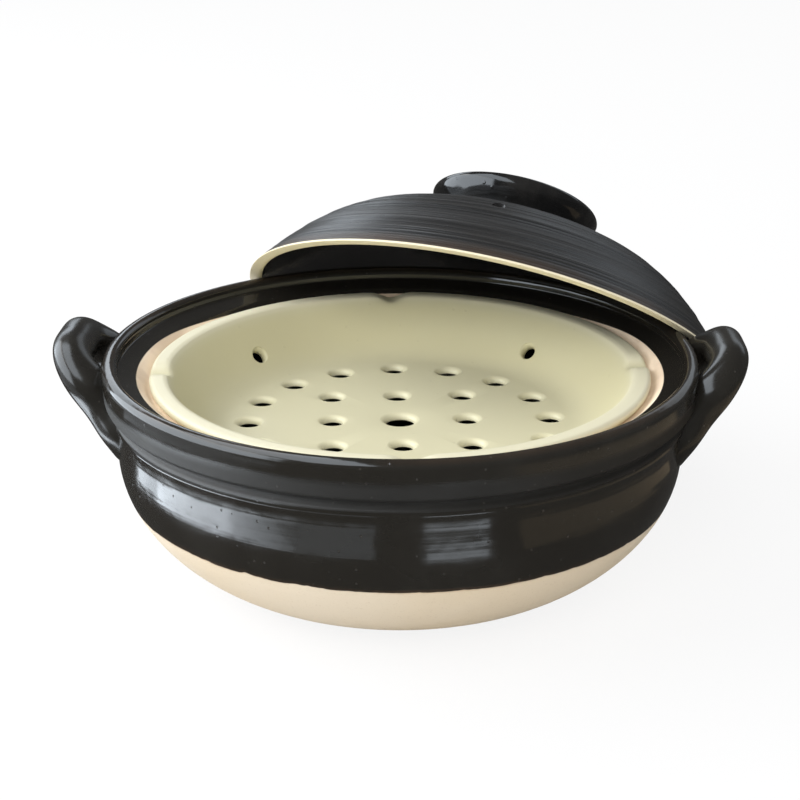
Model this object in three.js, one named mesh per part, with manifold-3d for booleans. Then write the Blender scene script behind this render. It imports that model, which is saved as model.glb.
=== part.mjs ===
// Clay steaming pot with a pierced tray and a leaning lid.
// Millimetres, +Z up. The pot stands on z = 0 with its axis on Z and its front towards -Y.

import * as THREE from 'three';
import { mergeVertices } from 'three/addons/utils/BufferGeometryUtils.js';
import Module from 'manifold-3d';

const wasm = await Module();
wasm.setup();

// Running gap between pieces that touch.
const SEAT_GAP = 0.3;

// Softening of the clay's small edges.
const EDGE_SOFT = 1;

// Pot: outside.
const POT_HEIGHT = 112;
const RIM_RADIUS = 147;
const RIM_WALL = 7.7;
const FOOT_RADIUS = 70;
const BELLY_DROP = 46;
const COLLAR_OVERHANG = 6.2;
const COLLAR_HEIGHT = 18.5;
const COLLAR_TAPER = 0.9;
const GROOVE_WIDTH = 4;
const GROOVE_DEPTH = 3.6;
const BEAD_HEIGHT = 5;
const BEAD_STEP = 3;
const BOWL_FOOT_PULL = 30;
const BOWL_BELLY_PULL = 36;

// Pot: inside.
const POT_WALL = 8;
const POT_FLOOR = 9;
const GALLERY_DEPTH = 6;
const GALLERY_WIDTH = 9.6;
const GALLERY_FALL = 3;
const SEAT_BEVEL = 4.9;
const SEAT_DROP = 5;
const SEAT_WIDTH = 5.3;
const SEAT_LEDGE = 6;
const LEDGE_BRACE = 8;

// Ear handles: flattened clay coils bent into a loop, tilted up from the shoulder.
const EAR_HALF_SPAN = 26.5;
const EAR_DROP = 35.5;
const EAR_ROOT_INSET = 5;
const EAR_ROOT_DEPTH = 15;
const EAR_COIL = 10.8;
const EAR_FLATTENING = 0.78;
const EAR_BEND = 18;
const LEFT_EAR_REACH = 43.9;
const LEFT_EAR_TILT = THREE.MathUtils.degToRad(54.4);
const RIGHT_EAR_REACH = 42.6;
const RIGHT_EAR_TILT = THREE.MathUtils.degToRad(53.7);
const POT_TURN = THREE.MathUtils.degToRad(-1.9);

// Steam tray.
const TRAY_CLEARANCE = 0.8;
const TRAY_THROAT_GAP = 1;
const TRAY_RIM = 5;
const TRAY_DEPTH = 29.5;
const TRAY_WALL = 5.3;
const TRAY_WALL_LEAN = THREE.MathUtils.degToRad(57);
const TRAY_WALL_PULL = 22;
const TRAY_FLOOR_RADIUS = 84;
const TRAY_FLOOR_PULL = 15;
const TRAY_TURN = THREE.MathUtils.degToRad(2.5);
const STEAM_HOLE = 9.4;
const STEAM_HOLE_MOUTH = 15;
const CENTRE_HOLE = 14.6;
const CENTRE_HOLE_MOUTH = 21;
const SIDE_HOLE = 7;
const SIDE_HOLE_MOUTH = 9;
const COUNTERSINK = 2.6;
const RING_HOLES = 16;
const RING_INSET = 8;
const GRID_PITCH = 34;
const SIDE_HOLES = 4;
const SIDE_HOLE_SHARE = 0.42;
const NOTCHES = 4;
const NOTCH_WIDTH = 19;
const NOTCH_DEPTH = 3.6;

// Lid.
const LID_CLEARANCE = 2.5;
const LID_HEIGHT = 58;
const LID_WALL = 6;
const LID_EDGE = 5.8;
const DOME_EDGE_RUN = 39.9;
const DOME_EDGE_RISE = 57;
const DOME_CROWN = 74;
const VENT_BORE = 7;
const VENT_RADIUS = 98;
const VENT_TURN = THREE.MathUtils.degToRad(195);
const LID_TILT = THREE.MathUtils.degToRad(36.4);
const LID_SIDE = THREE.MathUtils.degToRad(66.8);

// Lid knob.
const KNOB_RADIUS = 48;
const KNOB_FLARE = 8.5;
const KNOB_WALL = 7;
const KNOB_HEIGHT = 21.2;

// Facets.
const POT_SEGMENTS = 64;
const TRAY_SEGMENTS = 56;
const LID_SEGMENTS = 60;
const LID_STEPS = 10;
const KNOB_SEGMENTS = 40;
const HOLE_SEGMENTS = 12;
const EAR_STATIONS = 26;
const EAR_SIDES = 14;

// Sizes that follow from the ones above.
const MOUTH_RADIUS = RIM_RADIUS - RIM_WALL;
const BODY_RADIUS = RIM_RADIUS - COLLAR_OVERHANG;
const GALLERY_RADIUS = MOUTH_RADIUS - GALLERY_WIDTH;
const SEAT_RADIUS = GALLERY_RADIUS - SEAT_BEVEL;
const THROAT_RADIUS = SEAT_RADIUS - SEAT_WIDTH;
const GALLERY_Z = POT_HEIGHT - GALLERY_DEPTH;
const SEAT_Z = GALLERY_Z - GALLERY_FALL - SEAT_DROP;
const COLLAR_Z = POT_HEIGHT - COLLAR_HEIGHT;
const BELLY_Z = POT_HEIGHT - BELLY_DROP;
const LID_RADIUS = MOUTH_RADIUS - LID_CLEARANCE;

function vec(x, y) {
  return new THREE.Vector2(x, y);
}

function bend(from, pullFrom, pullTo, to, steps) {
  return new THREE.CubicBezierCurve(from, pullFrom, pullTo, to).getPoints(steps);
}

function arc(centre, radius, from, to, steps) {
  return new THREE.EllipseCurve(centre.x, centre.y, radius, radius, from, to, to < from).getPoints(steps);
}

// Closed mesh to solid: only positions, shared corners merged, slivers on the axis dropped.
function solid(geometry) {
  const bare = geometry.clone();
  bare.deleteAttribute('normal');
  bare.deleteAttribute('uv');
  const merged = mergeVertices(bare, 1e-4);
  const corners = merged.index.array;
  const kept = [];
  for (let i = 0; i < corners.length; i += 3) {
    const [a, b, c] = corners.slice(i, i + 3);
    if (a !== b && b !== c && c !== a) kept.push(a, b, c);
  }
  return new wasm.Manifold(new wasm.Mesh({
    numProp: 3,
    vertProperties: Float32Array.from(merged.attributes.position.array),
    triVerts: Uint32Array.from(kept),
  }));
}

function geometryOf(body) {
  const mesh = body.getMesh();
  const geometry = new THREE.BufferGeometry();
  geometry.setAttribute('position', new THREE.BufferAttribute(Float32Array.from(mesh.vertProperties), 3));
  geometry.setIndex(Array.from(mesh.triVerts));
  geometry.computeVertexNormals();
  return geometry;
}

// Turns an outline of (radius, height) points about Z.
function revolve(outline, segments) {
  return new THREE.LatheGeometry(outline, segments).rotateX(Math.PI / 2);
}

// Outside of the pot from its foot to the middle of the lip, grown by a gap.
function potOutside(gap) {
  const body = BODY_RADIUS + gap;
  const rim = RIM_RADIUS + gap;
  const groove = rim - COLLAR_TAPER - GROOVE_DEPTH;
  const bead = COLLAR_Z - GROOVE_WIDTH;
  const foot = vec(FOOT_RADIUS + gap, 0);
  const belly = vec(body, BELLY_Z);
  return [
    vec(0, 0),
    ...bend(foot, vec(foot.x + BOWL_FOOT_PULL, 0), vec(body, BELLY_Z - BOWL_BELLY_PULL), belly, 7),
    vec(body + BEAD_STEP * 0.4, bead - BEAD_HEIGHT - BEAD_STEP),
    vec(body + BEAD_STEP * 0.6, bead - BEAD_HEIGHT),
    vec(body + BEAD_STEP, bead - BEAD_HEIGHT / 2),
    vec(groove + GROOVE_DEPTH * 0.2, bead),
    vec(groove, bead + GROOVE_WIDTH / 3),
    vec(rim - COLLAR_TAPER - EDGE_SOFT, COLLAR_Z - EDGE_SOFT),
    vec(rim - COLLAR_TAPER, COLLAR_Z + EDGE_SOFT),
  ];
}

function potBody() {
  const lip = RIM_WALL / 2;
  const lipCentre = vec(RIM_RADIUS - lip, POT_HEIGHT - lip);
  const inside = BODY_RADIUS - POT_WALL;
  const cornerZ = SEAT_Z - SEAT_LEDGE;
  const floorRim = vec(FOOT_RADIUS - POT_WALL / 2, POT_FLOOR);
  const outline = [
    ...potOutside(0),
    ...arc(lipCentre, lip, 0, Math.PI, 6),
    vec(MOUTH_RADIUS, GALLERY_Z + EDGE_SOFT),
    vec(MOUTH_RADIUS - EDGE_SOFT, GALLERY_Z),
    vec(GALLERY_RADIUS, GALLERY_Z - GALLERY_FALL),
    vec(SEAT_RADIUS, SEAT_Z),
    vec(THROAT_RADIUS, SEAT_Z),
    vec(THROAT_RADIUS, cornerZ),
    vec(inside, cornerZ - LEDGE_BRACE),
    ...bend(
      vec(inside, BELLY_Z),
      vec(inside, BELLY_Z - BOWL_BELLY_PULL),
      vec(floorRim.x + BOWL_FOOT_PULL, POT_FLOOR),
      floorRim,
      6,
    ),
    vec(0, POT_FLOOR),
  ];
  return solid(revolve(outline, POT_SEGMENTS));
}

// Loop of clay coil towards +X: two arms joined by two bends in a tilted plane, closed at both ends.
function earCoil(reach, tilt) {
  const root = new THREE.Vector3(BODY_RADIUS - EAR_ROOT_INSET, 0, POT_HEIGHT - EAR_DROP);
  const rise = new THREE.Vector3(Math.cos(tilt), 0, Math.sin(tilt));
  const across = new THREE.Vector3(Math.sin(tilt), 0, -Math.cos(tilt));
  const top = reach - EAR_BEND;
  const side = EAR_HALF_SPAN - EAR_BEND;
  const loop = new THREE.Path()
    .moveTo(EAR_HALF_SPAN, -EAR_ROOT_DEPTH)
    .lineTo(EAR_HALF_SPAN, top)
    .absarc(side, top, EAR_BEND, 0, Math.PI / 2, false)
    .absarc(-side, top, EAR_BEND, Math.PI / 2, Math.PI, false)
    .lineTo(-EAR_HALF_SPAN, -EAR_ROOT_DEPTH);
  const path = loop.getSpacedPoints(EAR_STATIONS);
  const centres = path.map((p) => root.clone().addScaledVector(rise, p.y).setY(p.x));
  const corners = [];
  centres.forEach((centre, i) => {
    const before = centres[Math.max(i - 1, 0)];
    const after = centres[Math.min(i + 1, EAR_STATIONS)];
    const along = after.clone().sub(before).normalize();
    const outward = new THREE.Vector3().crossVectors(along, across);
    for (let k = 0; k < EAR_SIDES; k += 1) {
      const angle = 2 * Math.PI * k / EAR_SIDES;
      corners.push(centre.clone()
        .addScaledVector(across, EAR_COIL * EAR_FLATTENING * Math.cos(angle))
        .addScaledVector(outward, EAR_COIL * Math.sin(angle)));
    }
  });
  const faces = [];
  for (let i = 0; i < EAR_STATIONS; i += 1) {
    for (let k = 0; k < EAR_SIDES; k += 1) {
      const a = i * EAR_SIDES + k;
      const b = i * EAR_SIDES + (k + 1) % EAR_SIDES;
      faces.push(a, b, b + EAR_SIDES, a, b + EAR_SIDES, a + EAR_SIDES);
    }
  }
  const end = EAR_STATIONS * EAR_SIDES;
  for (let k = 1; k < EAR_SIDES - 1; k += 1) {
    faces.push(0, k + 1, k);
    faces.push(end, end + k, end + k + 1);
  }
  const geometry = new THREE.BufferGeometry().setFromPoints(corners);
  geometry.setIndex(faces);
  return geometry;
}

// An ear is a coil whose ends are shaped to the pot's shoulder.
function ear(reach, tilt) {
  const outside = [...potOutside(SEAT_GAP), vec(RIM_RADIUS + SEAT_GAP, POT_HEIGHT), vec(0, POT_HEIGHT)];
  return solid(earCoil(reach, tilt)).subtract(solid(revolve(outside, POT_SEGMENTS)));
}

// Countersunk cutter about +Z: its mouth is level with z = 0 and opens upwards.
function holeCutter(bore, mouth, depth) {
  const outline = [
    vec(0, -depth),
    vec(bore / 2, -depth),
    vec(bore / 2, -COUNTERSINK),
    vec(mouth / 2, 0),
    vec(mouth / 2 + COUNTERSINK, COUNTERSINK),
    vec(0, COUNTERSINK),
  ];
  return revolve(outline, HOLE_SEGMENTS);
}

// Inside of the tray from the brink of its rim down to its flat floor.
function trayWall(top) {
  const under = top - TRAY_RIM;
  const sin = Math.sin(TRAY_WALL_LEAN);
  const cos = Math.cos(TRAY_WALL_LEAN);
  const hang = top - EDGE_SOFT - TRAY_WALL * cos - under;
  const throat = THROAT_RADIUS - TRAY_THROAT_GAP;
  const brink = vec(throat - TRAY_WALL * sin + hang * cos / sin, top - EDGE_SOFT);
  const floor = vec(TRAY_FLOOR_RADIUS, top - TRAY_DEPTH);
  return new THREE.CubicBezierCurve(
    brink,
    vec(brink.x - TRAY_WALL_PULL * cos, brink.y - TRAY_WALL_PULL * sin),
    vec(floor.x + TRAY_FLOOR_PULL, floor.y),
    floor,
  );
}

// Point of the tray's outside that faces a point of its inside through the wall.
function throughTrayWall(wall, share) {
  const along = wall.getTangent(share);
  return wall.getPoint(share).add(vec(-along.y, along.x).multiplyScalar(TRAY_WALL));
}

function steamTray() {
  const under = SEAT_Z + SEAT_GAP;
  const top = under + TRAY_RIM;
  const radius = SEAT_RADIUS - TRAY_CLEARANCE;
  const roll = TRAY_RIM / 2;
  const wall = trayWall(top);
  const floor = wall.v3.y;
  const shares = [1, 0.85, 0.7, 0.5, 0.3];
  const outline = [
    vec(0, floor - TRAY_WALL),
    ...shares.map((share) => throughTrayWall(wall, share)),
    vec(THROAT_RADIUS - TRAY_THROAT_GAP, under),
    ...arc(vec(radius - roll, under + roll), roll, -Math.PI / 2, Math.PI / 2, 5),
    vec(wall.v0.x + 2 * EDGE_SOFT, top),
    ...wall.getPoints(7),
    vec(0, floor),
  ];
  let tray = solid(revolve(outline, TRAY_SEGMENTS));

  const depth = 2 * TRAY_WALL;
  const steamHole = holeCutter(STEAM_HOLE, STEAM_HOLE_MOUTH, depth);
  const ring = TRAY_FLOOR_RADIUS - RING_INSET;
  const places = [];
  for (let i = 0; i < RING_HOLES; i += 1) {
    const angle = 2 * Math.PI * i / RING_HOLES;
    places.push([ring * Math.cos(angle), ring * Math.sin(angle)]);
  }
  for (const x of [-GRID_PITCH, 0, GRID_PITCH]) {
    for (const y of [-GRID_PITCH, 0, GRID_PITCH]) {
      if (x !== 0 || y !== 0) places.push([x, y]);
    }
  }
  for (const [x, y] of places) {
    tray = tray.subtract(solid(steamHole.clone().translate(x, y, floor)));
  }
  const centreHole = holeCutter(CENTRE_HOLE, CENTRE_HOLE_MOUTH, depth).translate(0, 0, floor);
  tray = tray.subtract(solid(centreHole));

  const sideHole = holeCutter(SIDE_HOLE, SIDE_HOLE_MOUTH, depth);
  const sidePoint = wall.getPoint(SIDE_HOLE_SHARE);
  const sideAlong = wall.getTangent(SIDE_HOLE_SHARE);
  const lean = Math.atan2(sideAlong.y, sideAlong.x) + Math.PI;
  for (let i = 0; i < SIDE_HOLES; i += 1) {
    const cutter = sideHole.clone().rotateY(-lean).translate(sidePoint.x, 0, sidePoint.y);
    tray = tray.subtract(solid(cutter.rotateZ(2 * Math.PI * (i + 0.5) / SIDE_HOLES)));
  }

  const notchRadius = (NOTCH_WIDTH ** 2 / 4 + NOTCH_DEPTH ** 2) / (2 * NOTCH_DEPTH);
  const notchLength = 2 * (radius - wall.v0.x) + TRAY_RIM;
  for (let i = 0; i < NOTCHES; i += 1) {
    const cutter = new THREE.CylinderGeometry(notchRadius, notchRadius, notchLength, 40).rotateZ(Math.PI / 2);
    cutter.translate(radius, 0, top - NOTCH_DEPTH + notchRadius);
    tray = tray.subtract(solid(cutter.rotateZ(2 * Math.PI * i / NOTCHES)));
  }
  return tray;
}

// Dome curve from the edge to the crown, inside the outer face by a wall.
function domeCurve(inset, wall, steps) {
  const edge = LID_RADIUS - inset;
  const crown = LID_HEIGHT - wall;
  return bend(
    vec(edge, 0),
    vec(edge - DOME_EDGE_RUN, DOME_EDGE_RISE - wall),
    vec(DOME_CROWN - wall, crown),
    vec(0, crown),
    steps,
  );
}

// Height of the dome's outer face at a radius.
function domeHeight(radius) {
  const curve = domeCurve(0, 0, LID_STEPS);
  const i = curve.findIndex((p) => p.x <= radius);
  const [low, high] = [curve[i - 1], curve[i]];
  return THREE.MathUtils.mapLinear(radius, low.x, high.x, low.y, high.y);
}

function lidOutline() {
  const outside = domeCurve(0, 0, LID_STEPS).slice(1);
  const inside = domeCurve(LID_EDGE, LID_WALL, LID_STEPS - 2).reverse().slice(0, -1);
  return [
    ...inside,
    vec(LID_RADIUS - LID_EDGE, EDGE_SOFT),
    vec(LID_RADIUS - LID_EDGE + EDGE_SOFT, 0),
    vec(LID_RADIUS - EDGE_SOFT, 0),
    vec(LID_RADIUS, EDGE_SOFT),
    ...outside,
  ];
}

function lidDome() {
  const vent = new THREE.CylinderGeometry(VENT_BORE / 2, VENT_BORE / 2, 2 * LID_HEIGHT, HOLE_SEGMENTS)
    .rotateX(Math.PI / 2)
    .translate(VENT_RADIUS, 0, LID_HEIGHT)
    .rotateZ(VENT_TURN);
  return solid(revolve(lidOutline(), LID_SEGMENTS)).subtract(solid(vent));
}

// Ring knob on the dome, flared to its rounded top.
function lidKnob() {
  const neck = KNOB_RADIUS - KNOB_FLARE;
  const bore = neck - KNOB_WALL;
  const base = domeHeight(neck) + SEAT_GAP;
  const boreBase = domeHeight(bore) + SEAT_GAP;
  const top = base + KNOB_HEIGHT;
  const roll = KNOB_WALL / 2;
  const outline = [
    vec(bore, boreBase),
    ...bend(
      vec(neck, base),
      vec(neck, base + KNOB_HEIGHT / 2),
      vec(KNOB_RADIUS, top - KNOB_HEIGHT / 2),
      vec(KNOB_RADIUS, top - roll),
      5,
    ),
    ...arc(vec(KNOB_RADIUS - roll, top - roll), roll, 0, Math.PI, 6).slice(1),
    vec(bore, base + KNOB_HEIGHT / 4),
    vec(bore, boreBase),
  ];
  return solid(revolve(outline, KNOB_SEGMENTS));
}

// The lid stands on its lower edge and leans on whatever it meets: the reach from the pot's axis is
// the shortest that keeps the seat gap.
function leaningPlace(lid, pot) {
  const sin = Math.sin(LID_TILT);
  const cos = Math.cos(LID_TILT);
  const drop = Math.max(...lidOutline().map((p) => p.x * sin - p.y * cos));
  const height = drop + SEAT_GAP;
  const turn = new THREE.Matrix4().makeRotationZ(LID_SIDE);
  const tilt = new THREE.Matrix4().makeRotationY(LID_TILT);
  const clear = (reach) => {
    const place = turn.clone().multiply(new THREE.Matrix4().makeTranslation(reach, 0, height)).multiply(tilt);
    const placed = lid.transform(place.elements);
    return placed.minGap(pot, 2 * SEAT_GAP) >= SEAT_GAP;
  };
  let far = RIM_RADIUS + LID_RADIUS;
  let near = 0;
  for (let reach = far; reach > 0; reach -= 4) {
    if (!clear(reach)) {
      near = reach;
      break;
    }
    far = reach;
  }
  for (let i = 0; i < 12; i += 1) {
    const middle = (near + far) / 2;
    if (clear(middle)) far = middle;
    else near = middle;
  }
  return { reach: far, height };
}

function glaze(color, roughness) {
  return new THREE.MeshStandardMaterial({ color, roughness, metalness: 0 });
}

function piece(name, body, material) {
  const mesh = new THREE.Mesh(geometryOf(body), material);
  mesh.name = name;
  return mesh;
}

const body = potBody();
const rightEar = ear(RIGHT_EAR_REACH, RIGHT_EAR_TILT);
const leftEar = ear(LEFT_EAR_REACH, LEFT_EAR_TILT);
const dome = lidDome();
const knob = lidKnob();
const halfTurn = new THREE.Matrix4().makeRotationZ(Math.PI);
const potTurn = new THREE.Matrix4().makeRotationZ(POT_TURN);
const standing = body.add(rightEar).add(leftEar.transform(halfTurn.elements)).transform(potTurn.elements);
const place = leaningPlace(dome, standing);

const pot = new THREE.Group();
pot.add(piece('pot_body', body, glaze(0x2b2824, 0.25)));
pot.add(piece('handle_right', rightEar, glaze(0x2d2c26, 0.3)));
const leftHandle = piece('handle_left', leftEar, glaze(0x3a3b3b, 0.3));
leftHandle.rotation.z = Math.PI;
pot.add(leftHandle);
pot.rotation.z = POT_TURN;

const tray = piece('steam_tray', steamTray(), glaze(0xcfcbab, 0.35));
tray.rotation.z = TRAY_TURN;

const lid = new THREE.Group();
lid.position.set(place.reach, 0, place.height);
lid.rotation.y = LID_TILT;
lid.add(piece('lid_dome', dome, glaze(0x3c3c3c, 0.5)));
lid.add(piece('lid_knob', knob, glaze(0x1c1b1a, 0.2)));
const lidSide = new THREE.Group();
lidSide.rotation.z = LID_SIDE;
lidSide.add(lid);

const assembly = new THREE.Group();
assembly.add(pot, tray, lidSide);

export default assembly;
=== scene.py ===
"""Looks of a clay steaming pot: black pot with ears, pale pierced tray, leaning lid with a knob."""

import math

import bpy
from mathutils import Euler, Matrix, Vector


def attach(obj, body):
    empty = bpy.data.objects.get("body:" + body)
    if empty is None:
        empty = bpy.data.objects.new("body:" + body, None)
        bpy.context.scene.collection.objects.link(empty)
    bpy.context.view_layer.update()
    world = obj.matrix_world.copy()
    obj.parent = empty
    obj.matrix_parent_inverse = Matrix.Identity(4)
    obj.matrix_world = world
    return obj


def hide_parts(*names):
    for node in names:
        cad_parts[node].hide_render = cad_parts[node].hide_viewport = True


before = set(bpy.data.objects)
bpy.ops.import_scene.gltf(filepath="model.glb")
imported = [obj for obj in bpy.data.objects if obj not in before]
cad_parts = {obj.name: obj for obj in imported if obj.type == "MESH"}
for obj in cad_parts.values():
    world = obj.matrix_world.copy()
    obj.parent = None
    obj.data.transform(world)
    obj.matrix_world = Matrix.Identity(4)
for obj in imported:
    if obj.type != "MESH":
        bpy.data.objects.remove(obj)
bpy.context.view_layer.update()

bl_info = {
    "name": "Clay Steaming Pot",
    "version": (1, 0, 0),
    "blender": (4, 5, 0),
    "location": "3D View > Sidebar > Clay Pot",
    "description": "Models and glazes a clay steaming pot with its tray, ears, lid and knob",
    "category": "Object",
}

MM = 0.001
WELD = 0.00002  # points closer than this become one

# Steps around the wheel
POT_STEPS = 192
EAR_CORE_STEPS = 128
TRAY_STEPS = 360
HOLE_STEPS = 40
LID_STEPS = 208
KNOB_STEPS = 128

# Pot
LIP = 3.85 * MM  # radius of the rolled lip
POT_WALL = 8 * MM
POT_FLOOR = 9 * MM
BOWL_PULL = 36 * MM  # pull of the bowl's curves below the belly

# Ears: a coil of two arms, two bends and a top, with thicker roots and a thicker underside
COIL_SIDES = 28
ARM_STEPS = 8
BEND_STEPS = 10
TOP_STEPS = 4
EAR_START = 12 * MM  # the arms begin this far inside their root
EAR_SET_IN = 5 * MM  # root inside the pot's outside
EAR_SINK = 0.7 * MM  # overlap of ear and wall
EAR_ROOT = (2 * MM, 19 * MM)  # the spread is full up to the first and gone at the second
EAR_BACK = (24 * MM, 44 * MM)
ROOT_WIDER = 0.45
ROOT_THICKER_UNDER = 0.2
ROOT_THICKER_OVER = 0.12
BACK_THICKER = 0.45

# Tray: bore, mouth, spread below the waist and depth of its holes
STEAM_HOLE = (5.2 * MM, 8.3 * MM, 4.2 * MM, 9 * MM)
CENTRE_HOLE = (7.3 * MM, 10.8 * MM, 4.2 * MM, 9 * MM)
SIDE_HOLE = (3.6 * MM, 5.2 * MM, 1 * MM, 10 * MM)
SIDE_HOLE_PLACE = (102.6 * MM, 0, 83.6 * MM)
SIDE_HOLE_SLANT = math.radians(47)
RING_HOLES = 16
DIP_REACH = 4 * MM  # the dips end this far below the rim's top
DIP_INNER = 112 * MM
DIP_WIDTH = 6.2 * MM

# Lid: depth, width and shift of the waves that make its ridges, in millimetres
RIDGES = ((0.1, 0.96, 0.0), (0.06, 1.62, 0.8), (0.09, 3.4, 0.0))
VENT_RADIUS = 3.5 * MM
VENT_REACH = 98 * MM
VENT_TURN = math.radians(195)
KNOB_FLARE = 8.5 * MM  # rim beyond the neck
KNOB_WALL = 7 * MM
KNOB_HEIGHT = 22.6 * MM
KNOB_ROLL = 3.5 * MM
KNOB_SINK = 0.2 * MM  # foot below the dome's face

# Places on the pot where its glaze changes, in metres, from none to full
GLAZE_LINE = 0.0461
INSIDE_SLOPE = (0.02, 0.1)  # upward part of the normal, not a length
INSIDE_TOP = (0.07, 0.06)
SEAT_EDGE = (0.1303, 0.1299)
SEAT_LOW = (0.085, 0.086)
SEAT_BACK_SHADE = 0.0027  # the bare seat ends this much sooner at the back, where black glaze is painted as shade under the lid
GROOVE_LOW = (0.0862, 0.0882)
GROOVE_HIGH = (0.104, 0.0985)
GROOVE_SIDE = (0.134, 0.137)

# Tones that the materials mix into their main colours
PIT_TONE = (0.06, 0.055, 0.05, 1.0)
POT_CLOUD = (0.03, 0.028, 0.024, 1.0)
EAR_CLOUD = (0.034, 0.031, 0.024, 1.0)
WARM_SHARE = (0.97, 0.93, 0.86)
CLAY_SPECK = (0.42, 0.31, 0.2, 1.0)
SEAT_CLAY = (0.98, 0.8, 0.6, 1.0)
CLAY_STAIN = (0.4, 0.25, 0.14, 1.0)
TRAY_RIM = (0.78, 0.74, 0.58, 1.0)
TRAY_PIT = (0.4, 0.36, 0.22, 1.0)
# lighter tones for the lid's ridge crests: painted sheen
LID_RIDGE_SHEEN = (0.036, 0.035, 0.034, 1.0)
LID_FINE_SHEEN = (0.02, 0.02, 0.021, 1.0)
LID_CLOUD = (0.03, 0.027, 0.024, 1.0)
EDGE_CLAY = ((0.8, 0.71, 0.5, 1.0), (0.86, 0.78, 0.57, 1.0))
KNOB_CLOUD = (0.02, 0.019, 0.018, 1.0)

# Stage
FLOOR_SIZE = 14
CARD_LIFT = 0.4 * MM  # cards over the table, and the floor as much under it
CARD_STEPS = 24
COOL = (0.84, 0.92, 1.0)
WARM = (1.0, 0.8, 0.55)
CAMERA_PLACE = (0, -0.798, 0.3874)
CAMERA_DOWN = 20.8  # degrees below level
CAMERA_LENS = 76.5
CAMERA_SENSOR = 36

# Cards that only reflections show: name, inner and outer radius, start and sweep in degrees,
# strength, tint, and the values of Y where the light is gone and full
FLOOR_CARDS = (
    ("near_card", 0.24, 0.287, 172, 14, 4.8, COOL, -0.6, -0.5),
    ("near_card", 0.24, 0.287, 186, 16, 9.5, COOL, -0.6, -0.5),
    ("near_card", 0.24, 0.287, 202, 17, 9.5, COOL, -0.6, -0.5),
    ("near_card", 0.24, 0.287, 241, 22, 0.8, COOL, -0.6, -0.5),
    ("near_end", 0.24, 0.287, 219, 22, 6.0, COOL, -0.25, -0.15),
    ("collar_card", 0.325, 0.365, 165, 60, 0.7, COOL, -0.3, -0.1),
    ("middle_card", 0.365, 0.46, 165, 67, 0.6, COOL, -0.42, -0.3),
    ("far_card", 0.46, 1.0, 150, 65, 0.7, COOL, -0.6, -0.2),
    ("front_card", 0.235, 0.26, 277, 18, 3.5, COOL, -0.5, -0.4),
    ("warm_card", 0.24, 0.42, 305, 70, 0.3, WARM, -1.5, -1.4),
)


def length(label, about, millimetres):
    return bpy.props.FloatProperty(
        name=label, description=about, default=millimetres * MM, unit="LENGTH", precision=4
    )


def angle(label, about, degrees):
    return bpy.props.FloatProperty(
        name=label, description=about, default=math.radians(degrees), subtype="ANGLE"
    )


def colour(label, about, rgb):
    return bpy.props.FloatVectorProperty(
        name=label, description=about, default=rgb, subtype="COLOR", size=3, min=0.0, max=1.0
    )


def share(label, about, value):
    return bpy.props.FloatProperty(
        name=label, description=about, default=value, subtype="FACTOR", min=0.0, max=1.0
    )


class PotSizes(bpy.types.PropertyGroup):
    """Sizes of the thrown pot and its ears"""

    height: length("Height", "Foot to the crest of the lip", 112)
    rim: length("Rim radius", "Outside radius of the rim", 147)
    body: length("Body radius", "Outside radius of the bowl below the collar", 140.8)
    foot: length("Foot radius", "Radius of the flat foot", 70)
    belly: length("Belly height", "Where the bowl's curve ends", 66)
    ear_span: length("Ear half span", "Half the distance between an ear's arms", 26.5)
    ear_bend: length("Ear bend", "Radius of the coil's bends", 18)
    ear_coil: length("Ear coil", "Half the coil's width", 10.8)
    ear_flat: share("Ear flattening", "Thickness of the coil against its width", 0.78)
    ear_root: length("Ear root height", "Height of the coil's root in the wall", 76.5)
    right_reach: length("Right reach", "Length of the right ear from its root", 42.6)
    right_tilt: angle("Right tilt", "Rise of the right ear", 53.7)
    left_reach: length("Left reach", "Length of the left ear from its root", 43.9)
    left_tilt: angle("Left tilt", "Rise of the left ear", 54.4)
    turn: angle("Turn", "Turn of the pot about its axis", -1.9)


class TraySizes(bpy.types.PropertyGroup):
    """Sizes of the pierced tray"""

    radius: length("Radius", "Outside radius of the rim", 124)
    top: length("Top", "Height of the rim's top", 103.3)
    floor: length("Floor", "Height of the floor's upper face", 73.8)
    wall: length("Wall", "Thickness of wall and floor", 5.3)
    ring: length("Ring", "Radius of the ring of holes", 76)
    pitch: length("Pitch", "Spacing of the inner holes", 34)
    notch: length("Notch depth", "Depth of the finger dips in the rim", 3.6)
    turn: angle("Turn", "Turn of the tray about its axis", 2.5)


class LidSizes(bpy.types.PropertyGroup):
    """Sizes and place of the lid and its knob"""

    radius: length("Radius", "Outside radius of the edge", 136.8)
    height: length("Height", "Height of the dome over its edge", 58)
    wall: length("Wall", "Thickness of the dome", 6)
    edge: length("Edge", "Width of the bare edge", 5.8)
    knob: length("Knob radius", "Outside radius of the knob's rim", 48)
    tilt: angle("Tilt", "Lean of the lid", 36.4)
    side: angle("Side", "Direction in which the lid leans", 66.8)
    reach: length("Reach", "Distance of the lid's centre from the pot's axis", 121.66)
    rise: length("Rise", "Height of the lid's centre", 80.89)


class GlazeColours(bpy.types.PropertyGroup):
    """Colours of the glazes and of the bare clay"""

    black: colour("Black glaze", "Glaze of pot and ears", (0.016, 0.0145, 0.012))
    brown: colour("Thin glaze", "Where the black glaze runs thin", (0.075, 0.045, 0.026))
    clay: colour("Bare clay", "Unglazed bowl, seat ring and lid edge", (0.665, 0.573, 0.44))
    pale: colour("Tray glaze", "Grey-green glaze of the tray", (0.665, 0.63, 0.438))
    pale_deep: colour("Tray pool", "Tray glaze where it lies thick", (0.65, 0.606, 0.382))
    lid: colour("Lid glaze", "Semi-matt black of the lid", (0.011, 0.011, 0.011))
    knob: colour("Knob glaze", "Gloss black of the knob", (0.008, 0.008, 0.008))


def sizes(name):
    return getattr(bpy.context.scene, name)


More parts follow.
